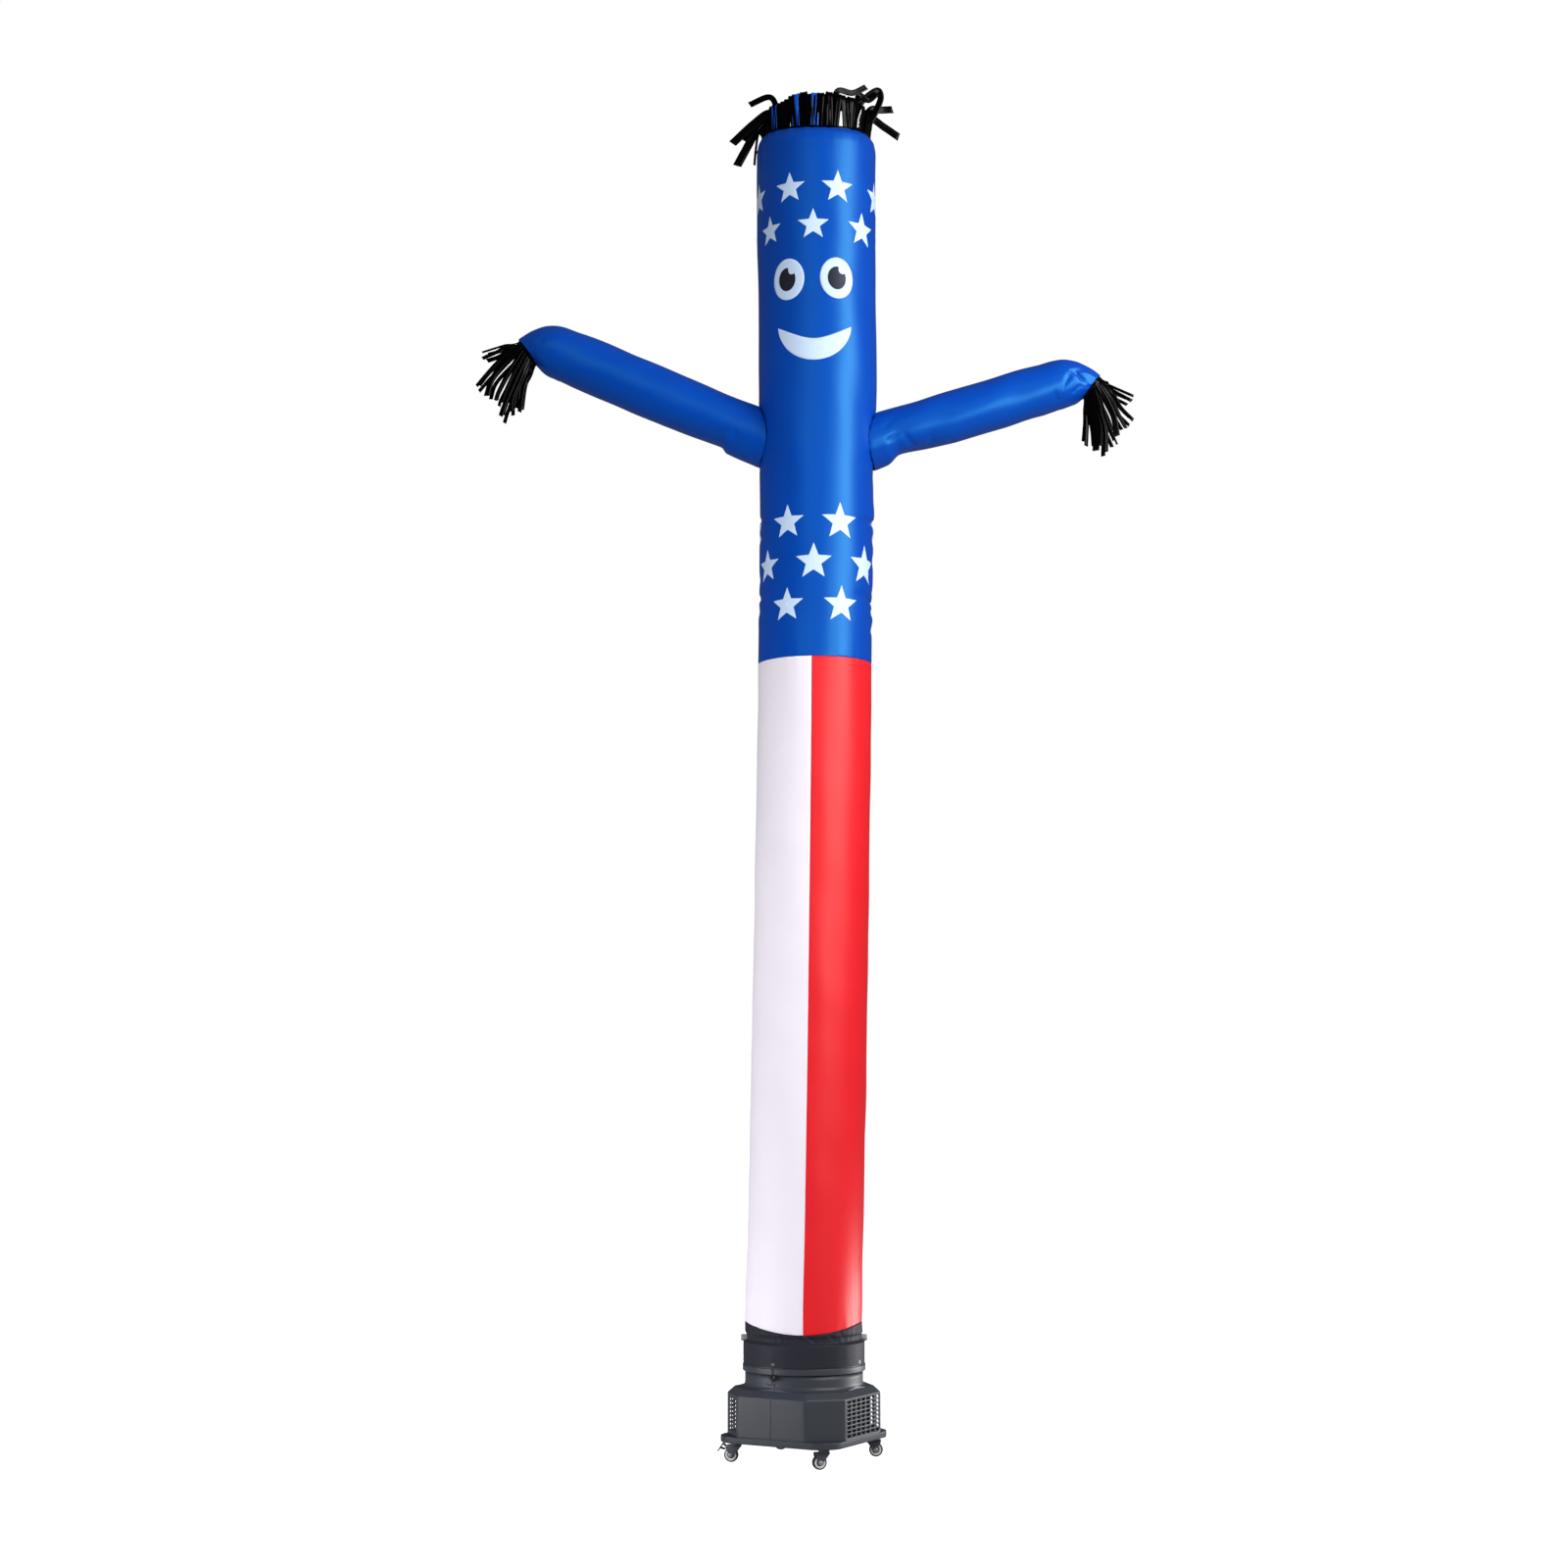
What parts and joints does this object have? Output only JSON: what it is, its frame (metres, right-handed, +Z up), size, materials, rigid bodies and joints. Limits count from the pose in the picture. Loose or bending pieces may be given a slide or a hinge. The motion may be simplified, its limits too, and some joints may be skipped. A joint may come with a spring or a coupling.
{
  "type": "inflatable air dancer on its blower",
  "caption": "Inflated cloth tube figure with two arms, fringed hair and hands, printed stars and a smiling face, standing on a caster-mounted blower with a tied skirt.",
  "frame": {"origin": "on the blower's vertical axis, at the floor", "axes": "+Z up along the tube, -Y the front with the face, +X towards the arm on the viewer's right"},
  "size_m": [2.6611, 0.6378, 5.396],
  "materials": {
    "blue_cloth": "matte",
    "white_cloth": "matte",
    "red_cloth": "matte",
    "black_cloth": "satin",
    "black_cord": "matte",
    "black_plastic": "satin",
    "grey_plastic": "satin",
    "light_plastic": "satin",
    "dark_steel": "satin",
    "black_rubber": "matte",
    "white_plastic": "satin",
    "bright_steel": "polished"
  },
  "bodies": {
    "root": {"body_upper": "blue_cloth", "panel_white": "white_cloth", "panel_red": "red_cloth", "skirt": "black_cloth", "sleeve_left": "blue_cloth", "sleeve_right": "blue_cloth", "fringe_hair": "black_cloth", "fringe_hand_left": "black_cloth", "fringe_hand_right": "black_cloth", "eyelet_left": "bright_steel", "eyelet_right": "bright_steel", "drawcord": "black_cord", "cord_lock": "black_plastic", "housing_front": "grey_plastic", "housing_back": "grey_plastic", "outlet_collar": "grey_plastic", "peg_left": "light_plastic", "peg_right": "light_plastic", "base_plate": "grey_plastic", "cable_gland": "black_plastic", "caster_front_plate": "dark_steel", "caster_right_plate": "dark_steel", "caster_rear_plate": "dark_steel", "caster_left_plate": "dark_steel"},
    "swivel_front": {"caster_front_fork": "dark_steel", "caster_front_axle": "bright_steel"},
    "wheel_front": {"caster_front_tyre": "black_rubber", "caster_front_hub": "white_plastic"},
    "swivel_right": {"caster_right_fork": "dark_steel", "caster_right_axle": "bright_steel"},
    "wheel_right": {"caster_right_tyre": "black_rubber", "caster_right_hub": "white_plastic"},
    "swivel_rear": {"caster_rear_fork": "dark_steel", "caster_rear_axle": "bright_steel"},
    "wheel_rear": {"caster_rear_tyre": "black_rubber", "caster_rear_hub": "white_plastic"},
    "swivel_left": {"caster_left_fork": "dark_steel", "caster_left_axle": "bright_steel"},
    "wheel_left": {"caster_left_tyre": "black_rubber", "caster_left_hub": "white_plastic"},
    "brake_left": {"caster_left_pedal": "dark_steel"}
  },
  "joints": [
    {"name": "swivel_front_turn", "type": "hinge", "parent": "root", "child": "swivel_front", "pos_m": [0.07215, -0.26018, 0.067], "axis": [0, 0, 1], "continuous": true},
    {"name": "wheel_front_roll", "type": "hinge", "parent": "swivel_front", "child": "wheel_front", "pos_m": [0.05494, -0.26544, 0.027], "axis": [0.2924, -0.9563, 0], "continuous": true},
    {"name": "swivel_right_turn", "type": "hinge", "parent": "root", "child": "swivel_right", "pos_m": [0.26018, 0.07215, 0.067], "axis": [0, 0, 1], "continuous": true},
    {"name": "wheel_right_roll", "type": "hinge", "parent": "swivel_right", "child": "wheel_right", "pos_m": [0.27808, 0.07027, 0.027], "axis": [0.1045, 0.9945, 0], "continuous": true},
    {"name": "swivel_rear_turn", "type": "hinge", "parent": "root", "child": "swivel_rear", "pos_m": [-0.07215, 0.26018, 0.067], "axis": [0, 0, 1], "continuous": true},
    {"name": "wheel_rear_roll", "type": "hinge", "parent": "swivel_rear", "child": "wheel_rear", "pos_m": [-0.09006, 0.2583, 0.027], "axis": [0.1045, -0.9945, 0], "continuous": true},
    {"name": "swivel_left_turn", "type": "hinge", "parent": "root", "child": "swivel_left", "pos_m": [-0.26018, -0.07215, 0.067], "axis": [0, 0, 1], "continuous": true},
    {"name": "wheel_left_roll", "type": "hinge", "parent": "swivel_left", "child": "wheel_left", "pos_m": [-0.27779, -0.06841, 0.027], "axis": [-0.2079, -0.9781, 0], "continuous": true},
    {"name": "brake_left_press", "type": "hinge", "parent": "swivel_left", "child": "brake_left", "pos_m": [-0.29246, -0.06529, 0.055], "axis": [-0.2079, -0.9781, 0], "range_deg": [0, 10]}
  ]
}
